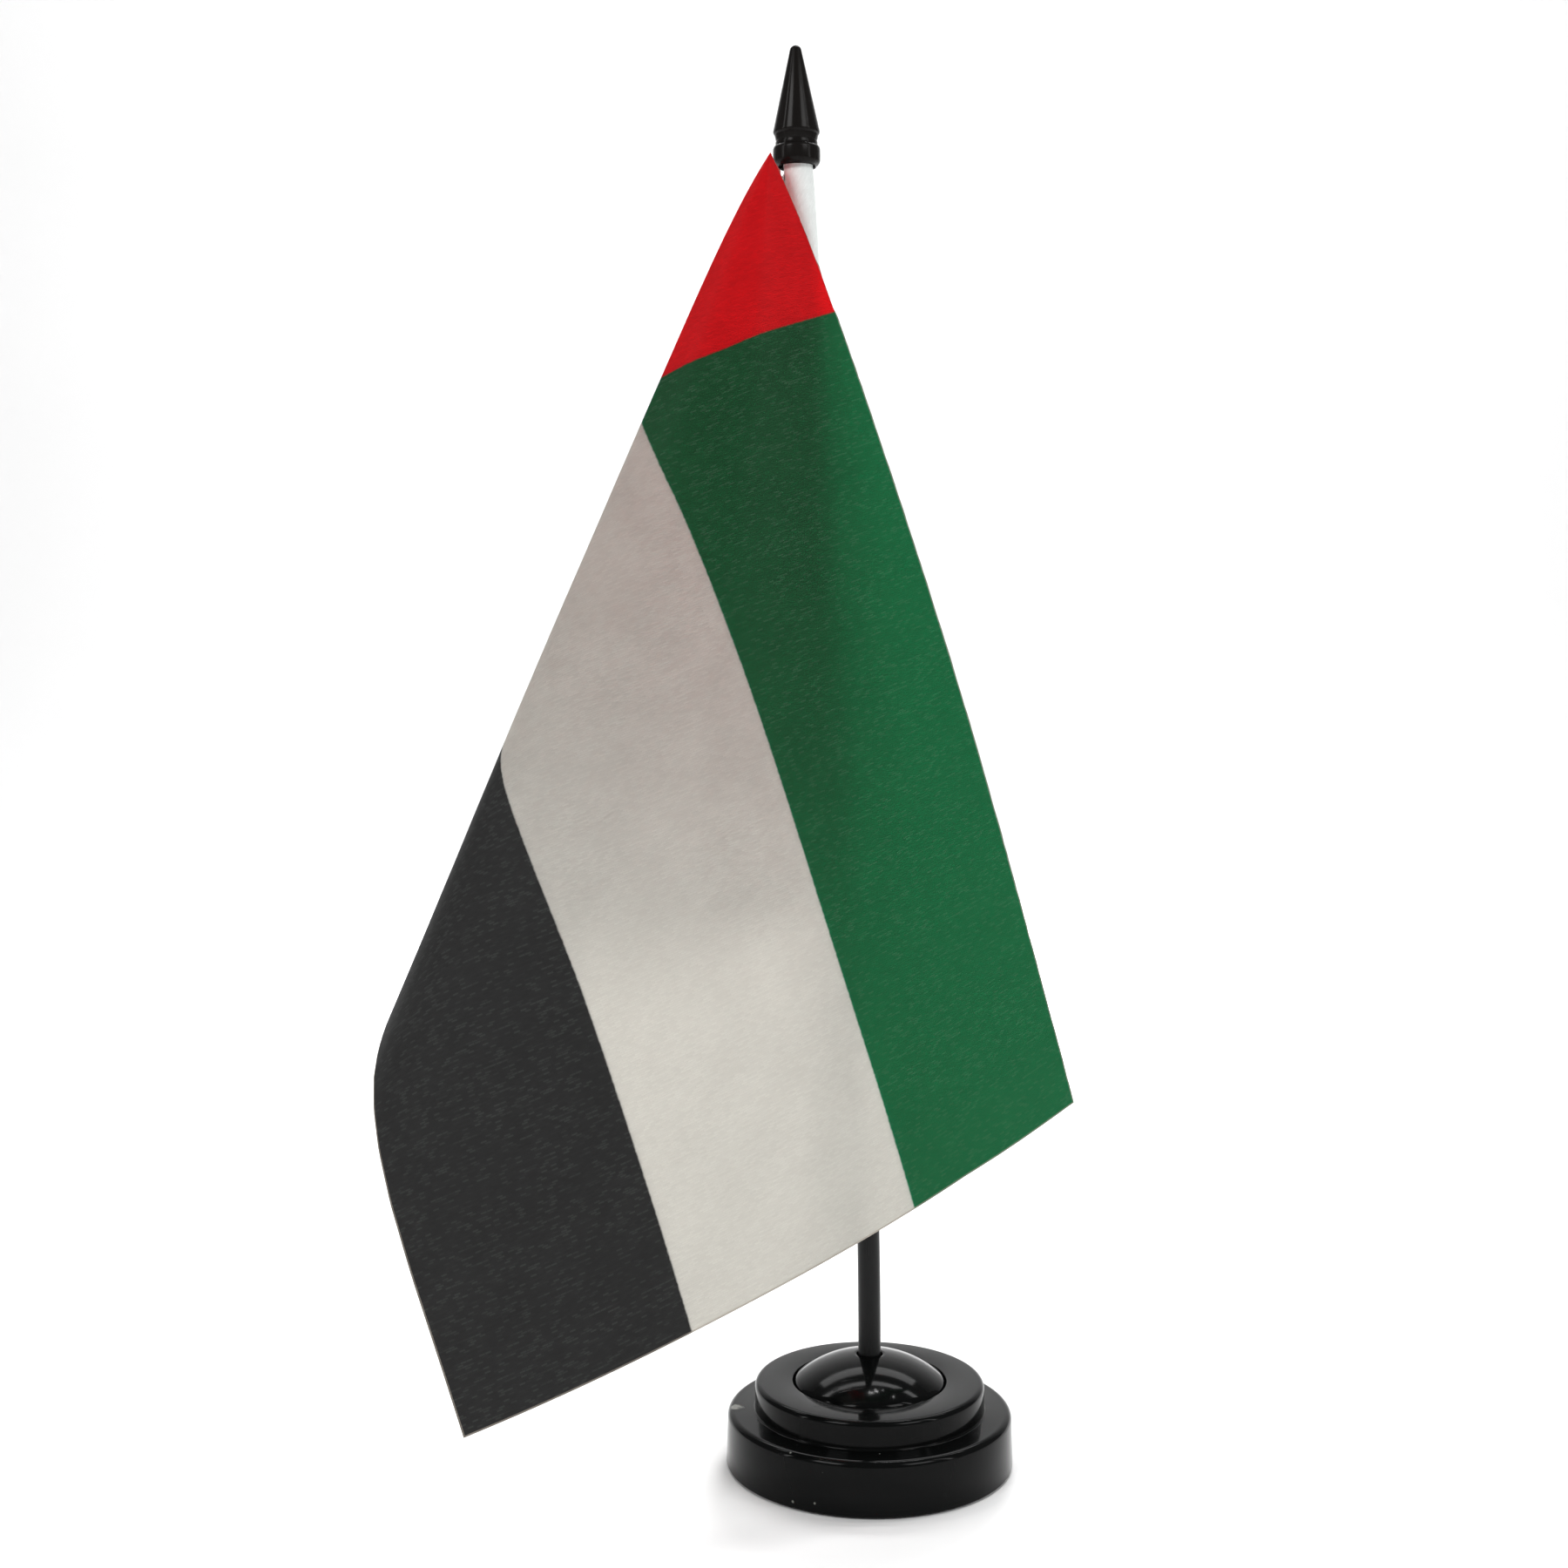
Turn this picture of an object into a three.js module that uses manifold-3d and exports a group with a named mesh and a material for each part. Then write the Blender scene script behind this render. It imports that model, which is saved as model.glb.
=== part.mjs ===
// A desk flag on a stand: a two-tier round base with a domed cap, a slim pole that bends a little above the base,
// a pointed finial, and a small cloth flag sewn round the pole and folded forwards in front of it.
// Millimetres. +Z is up, -Y is the front, and the origin is the centre of the base's underside.

import * as THREE from "three";
import { mergeVertices } from "three/addons/utils/BufferGeometryUtils.js";
import Module from "manifold-3d";

// ---------------------------------------------------------------- driving dimensions

const gap = 0.3; // between pieces that touch
const wall = 2; // of the base shell
const roundSides = 48; // round the base's pieces
const slimSides = 20; // round the pole's pieces

const base = {
  footRadius: 30, // a slight moulding draft makes the foot the widest place
  ledgeRadius: 29.7,
  ledgeHeight: 11.5,
  ledgeRounding: 1.4,
  tierRadius: 24,
  tierHeight: 17.4,
  tierRounding: 1.2,
  rimLift: 0.4, // the shell's rim stands clear of the table, on the pad
  edgeBreak: 0.3, // the rim's outer corner
  cornerFill: 0.4, // in the corner between ledge and tier
  ribs: 6,
  ribThickness: 1.5,
};
const dome = { radius: 15.8, apexHeight: 23.1, thickness: 1.8, holeRadius: 2.7, seatWidth: 2.6, seatDepth: 2.4 };
const pad = { radius: 27.4, thickness: 1.5 };
const cover = { radius: 27.5, thickness: 1.8 };
const socket = { flangeRadius: 9, flangeThickness: 1.2, outerRadius: 5, innerRadius: 3.6, top: 20.2 };
const ballast = { outerRadius: 21, thickness: 6.6 };
const bush = { outerRadius: 3.3, innerRadius: 2.65, top: 20 };

// The pole stands upright in its socket, bends over a stretch above it, and is straight from there.
const pole = { radius: 2.35, bendStart: 20, bendEnd: 121, lean: THREE.MathUtils.degToRad(4.4), engaged: 7.5 };

const finial = {
  length: 24.2,
  tipRadius: 1.2,
  coneRadius: 4.7,
  coneFoot: 7,
  grooveRadius: 4.12,
  grooveHeight: 5.3,
  collarRadius: 4.75,
  collarMiddle: 2.4,
  mouthRadius: 3.7,
  mouthDepth: 1.4,
  boreRadius: 2.9,
  boreDepth: 9,
  foot: 267.1, // height of its mouth
  lean: THREE.MathUtils.degToRad(0.6), // it sits a little askew on the pole
};

const flag = {
  height: 138, // along the pole
  length: 212, // from the sleeve's seam to the free end
  thickness: 0.5,
  sleeveInner: 2.65,
  sleeveOuter: 3.05,
  sleeveTop: 268.2, // inside the finial's mouth
  top: 266.5, // the free cloth's top corner, just under the finial
  hoist: 3.65, // from the pole's axis to the cloth's attached edge
};

// The cloth hangs as a fan of rays from the top of the pole. A ray's cloth angle is its angle to the flag's
// top edge on the flat cloth: 90 runs down the pole, 0 is the top edge. For every 100 mm that a ray drops,
// it runs this far across to the right and this far forwards. The slopes change smoothly from ray to ray,
// apart from a crease where the back layer turns into the front one.
const backRays = [
  { cloth: 90, across: 100 * Math.tan(pole.lean), forward: 0 },
  { cloth: 78, across: -10.8, forward: -12.5 },
  { cloth: 66, across: -31, forward: -20 },
  { cloth: 55, across: -41.5, forward: -6 },
  { cloth: 44.5, across: -43.5, forward: 14 },
];
const frontRays = [
  { cloth: 44.5, across: -43.5, forward: 14 },
  { cloth: 39, across: -33.2, forward: 19 },
  { cloth: 33, across: -21.6, forward: 19.5 },
  { cloth: 24, across: -6.5, forward: 17.5 },
  { cloth: 12, across: 12.6, forward: 5 },
  { cloth: 0, across: 32.5, forward: -11.5 },
];
const creaseAngle = 44.5;
const creaseSoftness = 8; // the crease is sharp at the top, this many degrees wide either side at the end
const foldPoint = { across: -5.7, forward: 8.6, up: 6.9 }; // the fold's rays start here, from the pole
const foldAngle = 62; // cloth angle from which the rays start at the fold point
const foldTop = 5.8; // the rays are drawn together to one point at this distance
const pinchLength = 12; // how fast they spread from there

// The front layer's top edge bows out to the right, and the cloth gives on the bias, less further down.
const edgeBow = 3;
const biasNear = 0.055;
const biasFar = 0.025;
const biasRun = 170;

// ---------------------------------------------------------------- shared places

// The centre line of the pole, as height to place.
const bendLength = pole.bendEnd - pole.bendStart;
const bendRadius = bendLength / Math.sin(pole.lean);
function poleCentre(height) {
  if (height <= pole.bendStart) return new THREE.Vector3(0, 0, height);
  const climbed = Math.min(height, pole.bendEnd) - pole.bendStart;
  const bent = bendRadius - Math.sqrt(bendRadius ** 2 - climbed ** 2);
  const straight = Math.max(height - pole.bendEnd, 0) * Math.tan(pole.lean);
  return new THREE.Vector3(-bent - straight, 0, height);
}

const coverBottom = pad.thickness + gap;
const coverTop = coverBottom + cover.thickness;
const flangeTop = coverTop + gap + socket.flangeThickness;
const ballastBottom = flangeTop + gap;
const ballastTop = ballastBottom + ballast.thickness;
const socketFloor = flangeTop + gap;
const tierUnderside = base.tierHeight - wall;
const ledgeUnderside = base.ledgeHeight - wall;
const seatTop = base.tierHeight - dome.seatDepth;

// ---------------------------------------------------------------- shaping

// A solid of revolution about Z from [radius, height] points.
function turned(points, sides) {
  const profile = points.map(([radius, height]) => new THREE.Vector2(radius, height));
  return new THREE.LatheGeometry(profile, sides).rotateX(Math.PI / 2);
}

// Points of an arc from one angle to another, in degrees, round a centre in a profile.
function arc([radius, height], size, from, to, steps) {
  return Array.from({ length: steps + 1 }, (_, i) => {
    const angle = THREE.MathUtils.degToRad(from + ((to - from) * i) / steps);
    return [radius + size * Math.cos(angle), height + size * Math.sin(angle)];
  });
}

const wasm = await Module();
wasm.setup();

function toSolid(geometry) {
  const bare = geometry.clone();
  bare.deleteAttribute("normal");
  bare.deleteAttribute("uv");
  const merged = mergeVertices(bare, 1e-4);
  const mesh = { numProp: 3, vertProperties: merged.attributes.position.array };
  return new wasm.Manifold(new wasm.Mesh({ ...mesh, triVerts: new Uint32Array(merged.index.array) }));
}

function toGeometry(solid) {
  const mesh = solid.getMesh();
  const geometry = new THREE.BufferGeometry();
  geometry.setAttribute("position", new THREE.BufferAttribute(mesh.vertProperties, 3));
  geometry.setIndex(new THREE.BufferAttribute(mesh.triVerts, 1));
  geometry.computeVertexNormals();
  return geometry;
}

// ---------------------------------------------------------------- materials

const finish = (color, roughness, metalness = 0) => new THREE.MeshStandardMaterial({ color, roughness, metalness });
const blackGloss = () => finish(0x0c0c0d, 0.12);
const blackSatin = () => finish(0x151516, 0.3);
const naturalPlastic = () => finish(0xd9d6cc, 0.5);
const zincSteel = () => finish(0x9a9da1, 0.4, 1);
const greyFelt = () => finish(0x3a3b3d, 0.95);
const whiteCloth = () => finish(0xe6e8e4, 0.6);
const printedCloth = () => finish(0x18734a, 0.55);

// ---------------------------------------------------------------- base

// The inside steps with the outside, and ribs under the ring keep the ballast down.
function baseShell() {
  const inner = base.footRadius - wall;
  const seatEdge = 0.2;
  const tierInner = base.tierRadius - wall;
  const seatOuter = dome.radius + gap;
  const ledgeCentre = [base.ledgeRadius - base.ledgeRounding, base.ledgeHeight - base.ledgeRounding];
  const tierCentre = [base.tierRadius - base.tierRounding, base.tierHeight - base.tierRounding];
  const shell = turned(
    [
      [inner, base.rimLift],
      [base.footRadius - base.edgeBreak, base.rimLift],
      [base.footRadius, base.rimLift + base.edgeBreak],
      ...arc(ledgeCentre, base.ledgeRounding, 0, 90, 4),
      [base.tierRadius + base.cornerFill, base.ledgeHeight],
      [base.tierRadius, base.ledgeHeight + base.cornerFill],
      ...arc(tierCentre, base.tierRounding, 0, 90, 4),
      [seatOuter + seatEdge, base.tierHeight],
      [seatOuter, base.tierHeight - seatEdge],
      [seatOuter, seatTop],
      [seatOuter - dome.seatWidth, seatTop],
      [seatOuter - dome.seatWidth, seatTop - wall],
      [seatOuter + wall, seatTop - wall],
      [seatOuter + wall, tierUnderside],
      [tierInner, tierUnderside],
      [tierInner, ledgeUnderside],
      [inner, ledgeUnderside],
      [inner, base.rimLift],
    ],
    roundSides,
  );
  let solid = toSolid(shell);
  const overlap = 0.5; // how far a rib runs into the walls it joins
  const ribInner = seatOuter + wall - overlap;
  const ribBottom = ballastTop + gap;
  const ribLength = tierInner + overlap - ribInner;
  const ribHeight = tierUnderside + overlap - ribBottom;
  for (let i = 0; i < base.ribs; i++) {
    const rib = new THREE.BoxGeometry(ribLength, base.ribThickness, ribHeight)
      .translate(ribInner + ribLength / 2, 0, ribBottom + ribHeight / 2)
      .rotateZ(((i + 0.5) * 2 * Math.PI) / base.ribs);
    solid = solid.add(toSolid(rib));
  }
  return toGeometry(solid);
}

// A shallow cap of a sphere with a short upright rim, a hole at its apex for the pole.
function domeCap() {
  const rise = dome.apexHeight - base.tierHeight;
  const ballRadius = (dome.radius ** 2 + rise ** 2) / (2 * rise);
  const ballCentre = dome.apexHeight - ballRadius;
  const surface = (radius, ball) => ballCentre + Math.sqrt(ball ** 2 - radius ** 2);
  const innerBall = ballRadius - dome.thickness;
  const footRounding = 0.3;
  const innerEdge = dome.radius - dome.seatWidth - 0.4; // leaves the rim thicker than the dome
  const steps = 6;
  const over = (from, to, ball) =>
    Array.from({ length: steps + 1 }, (_, i) => {
      const radius = from + ((to - from) * i) / steps;
      return [radius, surface(radius, ball)];
    });
  const rimBottom = seatTop + gap;
  return turned(
    [
      [dome.radius - dome.seatWidth, rimBottom],
      [dome.radius, rimBottom],
      [dome.radius, base.tierHeight],
      ...over(dome.radius - footRounding, dome.holeRadius, ballRadius),
      ...over(dome.holeRadius, innerEdge, innerBall),
      [dome.radius - dome.seatWidth, rimBottom],
    ],
    roundSides,
  );
}

function socketTube() {
  const bottom = coverTop + gap;
  return turned(
    [
      [0, bottom],
      [socket.flangeRadius, bottom],
      [socket.flangeRadius, flangeTop],
      [socket.outerRadius, flangeTop],
      [socket.outerRadius, socket.top],
      [socket.innerRadius, socket.top],
      [socket.innerRadius, socketFloor],
      [0, socketFloor],
    ],
    roundSides / 2,
  );
}

function ring(innerRadius, outerRadius, bottom, top, sides, edge = 0) {
  return turned(
    [
      [innerRadius, bottom],
      [outerRadius - edge, bottom],
      [outerRadius, bottom + edge],
      [outerRadius, top - edge],
      [outerRadius - edge, top],
      [innerRadius, top],
      [innerRadius, bottom],
    ].filter((point, i, all) => i === 0 || point[0] !== all[i - 1][0] || point[1] !== all[i - 1][1]),
    sides,
  );
}

const ballastRing = () =>
  ring(socket.outerRadius + gap, ballast.outerRadius, ballastBottom, ballastTop, roundSides, 0.5);

function disc(radius, bottom, top) {
  return turned([[0, bottom], [radius, bottom], [radius, top], [0, top]], roundSides);
}

const bottomCover = () => disc(cover.radius, coverBottom, coverTop);
const feltPad = () => disc(pad.radius, 0, pad.thickness);

// ---------------------------------------------------------------- pole and finial

const socketBush = () => ring(bush.innerRadius, bush.outerRadius, socketFloor + gap, bush.top, slimSides);

function roundSection(radius, sides) {
  const outline = Array.from({ length: sides }, (_, i) => {
    const angle = (2 * Math.PI * i) / sides;
    return new THREE.Vector2(radius * Math.cos(angle), radius * Math.sin(angle));
  });
  return new THREE.Shape(outline);
}

function poleRod() {
  const bottom = socketFloor + 2 * gap;
  const top = finial.foot + pole.engaged;
  const heights = [bottom, pole.bendStart];
  const bendSteps = 10;
  for (let i = 1; i <= bendSteps; i++) heights.push(pole.bendStart + (bendLength * i) / bendSteps);
  heights.push(top);
  const path = new THREE.CurvePath();
  heights.slice(1).forEach((height, i) => {
    path.add(new THREE.LineCurve3(poleCentre(heights[i]), poleCentre(height)));
  });
  const sides = 12;
  return new THREE.ExtrudeGeometry(roundSection(pole.radius, sides), { steps: 26, extrudePath: path });
}

// Built upright with its mouth at z = 0: a cone with a rounded foot, a groove, and a rounded collar.
function finialCone() {
  const coneTop = finial.length - finial.tipRadius;
  const footRounding = 0.8;
  const drillPoint = 0.8;
  const lip = 0.1; // the collar's lower edge
  const collarHalf = finial.collarMiddle - lip;
  // The collar's outline: how far in from its widest, and how far up from the middle as a share of half its height.
  const collar = [
    [0.85, -1],
    [0.25, -0.6],
    [0, 0],
    [0.1, 0.45],
    [0.33, 0.85],
  ].map(([inset, share]) => [finial.collarRadius - inset, finial.collarMiddle + collarHalf * share]);
  const grooveEdge = 0.1;
  const grooveHalf = 0.3;
  return turned(
    [
      [0, finial.boreDepth + drillPoint],
      [finial.boreRadius, finial.boreDepth],
      [finial.boreRadius, finial.mouthDepth],
      [finial.mouthRadius, finial.mouthDepth],
      [finial.mouthRadius, lip],
      ...collar,
      [finial.grooveRadius + grooveEdge, finial.grooveHeight - grooveHalf],
      [finial.grooveRadius, finial.grooveHeight],
      [finial.grooveRadius + grooveEdge, finial.grooveHeight + grooveHalf],
      ...arc([finial.coneRadius - footRounding, finial.coneFoot], footRounding, -60, 0, 3),
      ...arc([0, coneTop], finial.tipRadius, 10, 90, 4).slice(0, -1),
      [0, finial.length],
    ],
    slimSides + 8,
  );
}

// ---------------------------------------------------------------- flag

// A smooth line through the rays' slopes, at any cloth angle.
function slopeAt(angle, key) {
  const rays = angle >= creaseAngle ? backRays : frontRays;
  const last = rays.length - 1;
  const found = rays.findIndex((ray) => ray.cloth <= angle);
  const after = found < 0 ? last : Math.max(found, 1);
  const before = after - 1;
  const tangent = (i) => {
    const a = rays[Math.max(i - 1, 0)];
    const b = rays[Math.min(i + 1, last)];
    return (b[key] - a[key]) / (b.cloth - a.cloth);
  };
  const span = rays[after].cloth - rays[before].cloth;
  const t = (angle - rays[before].cloth) / span;
  const start = (1 + 2 * t) * (1 - t) ** 2 * rays[before][key] + t * (1 - t) ** 2 * span * tangent(before);
  const end = t * t * (3 - 2 * t) * rays[after][key] + t * t * (t - 1) * span * tangent(after);
  return start + end;
}

// A point of the fan before its crease is softened.
function rayPlace(angle, distance) {
  const settled = THREE.MathUtils.smoothstep(90 - angle, 0, 90 - foldAngle);
  const start = poleCentre(flag.top);
  start.x += THREE.MathUtils.lerp(-flag.hoist, foldPoint.across, settled);
  start.y -= foldPoint.forward * settled;
  start.z += foldPoint.up * settled;
  const across = slopeAt(angle, "across");
  const ray = new THREE.Vector3(across, -slopeAt(angle, "forward"), -100).normalize();
  const turn = THREE.MathUtils.degToRad(angle);
  const give = THREE.MathUtils.lerp(biasNear, biasFar, Math.min(distance / biasRun, 1));
  const place = start.addScaledVector(ray, distance * (1 + give * Math.sin(2 * turn) ** 2));
  const along = distance / flag.length;
  place.x += edgeBow * 4 * along * (1 - along) * Math.cos(turn) ** 4;
  const drawn = Math.exp((foldTop - distance) / pinchLength);
  place.x -= (across / 100) * foldTop * settled * drawn;
  return place;
}

// Where the cloth at a cloth angle and a distance from the flag's top corner hangs: a weighted mean of the rays
// either side, over a width that grows down the fan.
function clothPlace(angle, distance) {
  const widest = creaseSoftness * (distance / flag.length) ** 2;
  const width = Math.max(Math.min(widest, angle, 90 - angle), 0);
  const weights = [1, 2, 3, 2, 1];
  const total = weights.reduce((sum, weight) => sum + weight);
  const place = new THREE.Vector3();
  weights.forEach((weight, i) => {
    const aside = (i / 2 - 1) * width;
    place.addScaledVector(rayPlace(angle + aside, distance), weight / total);
  });
  return place;
}

// How far the cloth reaches from its top corner at a cloth angle.
function reach(angle) {
  const turn = THREE.MathUtils.degToRad(angle);
  return Math.min(flag.height / Math.max(Math.sin(turn), 1e-6), flag.length / Math.max(Math.cos(turn), 1e-6));
}

// The cloth as a thin closed sheet: two layers of the same grid, joined round the edge.
function flagCloth() {
  const cornerAngle = THREE.MathUtils.radToDeg(Math.atan2(flag.height, flag.length));
  const angles = [];
  const downTo = (from, to, steps) => {
    for (let i = 0; i < steps; i++) angles.push(from + ((to - from) * i) / steps);
  };
  downTo(90, creaseAngle, 16);
  downTo(creaseAngle, cornerAngle, 6);
  downTo(cornerAngle, 0, 9);
  angles.push(0);
  const rows = 14;
  const nearest = 9; // the fan's narrow end is cut off this far down
  const startOf = (angle) => nearest * THREE.MathUtils.smoothstep(90 - angle, 0, 90 - foldAngle);
  const grid = angles.map((angle) =>
    Array.from({ length: rows + 1 }, (_, j) => {
      const from = startOf(angle);
      return clothPlace(angle, from + ((reach(angle) - from) * j) / rows);
    }),
  );
  const at = (i, j) => grid[Math.min(Math.max(i, 0), angles.length - 1)][Math.min(Math.max(j, 0), rows)];
  const corners = [];
  for (const side of [1, -1])
    for (let i = 0; i < angles.length; i++)
      for (let j = 0; j <= rows; j++) {
        const along = at(i + 1, j).clone().sub(at(i - 1, j));
        const down = at(i, j + 1).clone().sub(at(i, j - 1));
        const normal = along.cross(down).normalize();
        corners.push(...at(i, j).clone().addScaledVector(normal, (side * flag.thickness) / 2));
      }
  const layer = angles.length * (rows + 1);
  const index = (i, j, side) => side * layer + i * (rows + 1) + j;
  const faces = [];
  const quad = (a, b, c, d) => faces.push(a, b, c, a, c, d);
  for (let i = 0; i + 1 < angles.length; i++)
    for (let j = 0; j < rows; j++) {
      quad(index(i, j, 0), index(i + 1, j, 0), index(i + 1, j + 1, 0), index(i, j + 1, 0));
      quad(index(i, j, 1), index(i, j + 1, 1), index(i + 1, j + 1, 1), index(i + 1, j, 1));
    }
  for (let i = 0; i + 1 < angles.length; i++) {
    quad(index(i, 0, 1), index(i + 1, 0, 1), index(i + 1, 0, 0), index(i, 0, 0));
    quad(index(i, rows, 0), index(i + 1, rows, 0), index(i + 1, rows, 1), index(i, rows, 1));
  }
  const end = angles.length - 1;
  for (let j = 0; j < rows; j++) {
    quad(index(0, j, 0), index(0, j + 1, 0), index(0, j + 1, 1), index(0, j, 1));
    quad(index(end, j, 1), index(end, j + 1, 1), index(end, j + 1, 0), index(end, j, 0));
  }
  const geometry = new THREE.BufferGeometry();
  geometry.setAttribute("position", new THREE.Float32BufferAttribute(corners, 3));
  geometry.setIndex(faces);
  geometry.computeVertexNormals();
  return geometry;
}

// The sleeve's own frame: its axis is the straight upper stretch of the pole.
function flagSleeve() {
  return ring(flag.sleeveInner, flag.sleeveOuter, flag.top - flag.height - flag.sleeveTop, 0, slimSides);
}

// One row of stitches closes the sleeve, just off the hoist on the cloth's front.
function sleeveStitching() {
  const fromHoist = 3;
  const threadRadius = 0.2;
  const standOff = flag.thickness / 2 + gap + threadRadius;
  const first = flag.height * 0.16; // above it the fold crosses the seam
  const last = flag.height * 0.97;
  const places = [];
  const stitches = 12;
  for (let i = 0; i <= stitches; i++) {
    const down = first + ((last - first) * i) / stitches;
    const angle = THREE.MathUtils.radToDeg(Math.atan2(down, fromHoist));
    const place = clothPlace(angle, Math.hypot(down, fromHoist));
    place.y -= standOff;
    places.push(place);
  }
  const path = new THREE.CatmullRomCurve3(places);
  return new THREE.ExtrudeGeometry(roundSection(threadRadius, 6), { steps: 16, extrudePath: path });
}

// ---------------------------------------------------------------- assembly

const group = new THREE.Group();

function add(name, geometry, material, parent = group) {
  const mesh = new THREE.Mesh(geometry, material);
  mesh.name = name;
  parent.add(mesh);
  return mesh;
}

add("felt_pad", feltPad(), greyFelt());
add("bottom_cover", bottomCover(), blackSatin());
add("socket_tube", socketTube(), naturalPlastic());
add("ballast_ring", ballastRing(), zincSteel());
add("base_shell", baseShell(), blackGloss());
add("dome_cap", domeCap(), blackGloss());
add("socket_bush", socketBush(), naturalPlastic());
add("pole", poleRod(), blackSatin());

const finialSeat = new THREE.Group();
finialSeat.position.copy(poleCentre(finial.foot + pole.engaged / 2));
finialSeat.rotation.y = -finial.lean;
group.add(finialSeat);
add("finial", finialCone(), blackGloss(), finialSeat).position.z = -pole.engaged / 2;

const sleeveSeat = new THREE.Group();
sleeveSeat.position.copy(poleCentre(flag.sleeveTop));
sleeveSeat.rotation.y = -pole.lean;
group.add(sleeveSeat);
add("flag_sleeve", flagSleeve(), whiteCloth(), sleeveSeat);
add("flag_cloth", flagCloth(), printedCloth());
add("sleeve_stitching", sleeveStitching(), whiteCloth());

export default group;
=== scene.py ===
"""The looks of a small table flag on its stand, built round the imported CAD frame."""

import math
import random

import bpy
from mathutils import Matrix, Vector


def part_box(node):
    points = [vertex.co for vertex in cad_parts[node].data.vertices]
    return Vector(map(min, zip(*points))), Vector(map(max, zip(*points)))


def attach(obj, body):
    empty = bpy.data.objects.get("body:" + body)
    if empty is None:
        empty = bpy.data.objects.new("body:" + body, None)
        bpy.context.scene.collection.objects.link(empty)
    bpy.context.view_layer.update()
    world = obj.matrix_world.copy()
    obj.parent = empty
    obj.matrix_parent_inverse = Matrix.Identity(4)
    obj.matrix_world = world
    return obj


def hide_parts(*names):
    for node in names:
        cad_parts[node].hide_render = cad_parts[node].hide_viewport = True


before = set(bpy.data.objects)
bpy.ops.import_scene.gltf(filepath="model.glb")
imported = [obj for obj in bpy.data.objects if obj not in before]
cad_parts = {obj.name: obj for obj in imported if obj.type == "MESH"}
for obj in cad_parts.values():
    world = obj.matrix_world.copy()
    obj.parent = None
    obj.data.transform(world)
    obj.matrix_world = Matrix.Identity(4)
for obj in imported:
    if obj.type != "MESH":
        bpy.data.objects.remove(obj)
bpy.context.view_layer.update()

MM = 0.001

# ---------------------------------------------------------------- sizes, in millimetres as on the drawing

LEAN = math.radians(4.4)  # of the pole's straight upper stretch
BEND_START = 20
BEND_END = 121
POLE_RADIUS = 2.35

FLAG_HEIGHT = 138
FLAG_LENGTH = 212
CLOTH_THICKNESS = 0.25
CLOTH_TOP = 266.5  # height of the free cloth's top corner
SLEEVE_TOP = 268.2
SLEEVE_RADIUS = 2.9
HOIST = 3.65  # from the pole's axis to the cloth's attached edge
RED_BAND = 37.6  # along the hoist
GREEN_BAND = 43.5  # down from the top edge
WHITE_BAND = 49
FAN_CUT = 5.8  # the rays are drawn together to one point at this distance
FOLD_ANGLE = 62  # cloth angle from which the folds run from the fold point
FOLD_POINT = (-5.7, -8.6, 6.9)  # from the pole's axis at the cloth's top

# The cloth hangs as a fan of rays: cloth angle, and the run across and forwards for 100 mm of drop.
BACK_RAYS = (
    (90, 100 * math.tan(LEAN), 0),
    (78, -10.8, -12.5),
    (66, -31, -20),
    (55, -41.5, -6),
    (44.5, -43.5, 14),
)
FRONT_RAYS = (
    (44.5, -43.5, 14),
    (39, -33.2, 19),
    (33, -21.6, 19.5),
    (24, -6.5, 17.5),
    (12, 12.6, 5),
    (0, 32.5, -11.5),
)
CREASE_ANGLE = 44.5

# How it departs from straight rays: a crease that softens further down, a bowed top edge, a pinch at the
# fold's top, and give on the bias.
CREASE_SOFTNESS = 8  # degrees either side, at the fan's far end
EDGE_BOW = 3.0
PINCH_LENGTH = 12
BIAS_NEAR = 0.055
BIAS_FAR = 0.025
BIAS_RUN = 170


def node_size(name):
    """Lowest and highest corner of a CAD node, in millimetres."""
    low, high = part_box(name)
    return Vector(low) / MM, Vector(high) / MM


# ---------------------------------------------------------------- helpers for shapes


def deselect_all():
    if bpy.context.object and bpy.context.object.mode != "OBJECT":
        bpy.ops.object.mode_set(mode="OBJECT")
    bpy.ops.object.select_all(action="DESELECT")


def make_active(piece):
    deselect_all()
    piece.select_set(True)
    bpy.context.view_layer.objects.active = piece


def new_mesh(name, points, faces):
    """A mesh piece from points in millimetres."""
    mesh = bpy.data.meshes.new(name)
    mesh.from_pydata([tuple(c * MM for c in point) for point in points], [], faces)
    mesh.update()
    piece = bpy.data.objects.new(name, mesh)
    bpy.context.collection.objects.link(piece)
    return piece


def smooth(piece, angle=40):
    make_active(piece)
    bpy.ops.object.shade_smooth_by_angle(angle=math.radians(angle))


def apply_modifiers(piece):
    make_active(piece)
    for modifier in list(piece.modifiers):
        bpy.ops.object.modifier_apply(modifier=modifier.name)


def settle(piece):
    """Puts the piece's place into its mesh, with the object left at the origin."""
    make_active(piece)
    bpy.ops.object.transform_apply(location=True, rotation=True, scale=True)


def arc(centre, size, start, end, steps):
    """Outline points of an arc in a profile of (radius, height)."""
    points = []
    for i in range(steps + 1):
        angle = math.radians(start + (end - start) * i / steps)
        points.append((centre[0] + size * math.cos(angle), centre[1] + size * math.sin(angle)))
    return points


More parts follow.
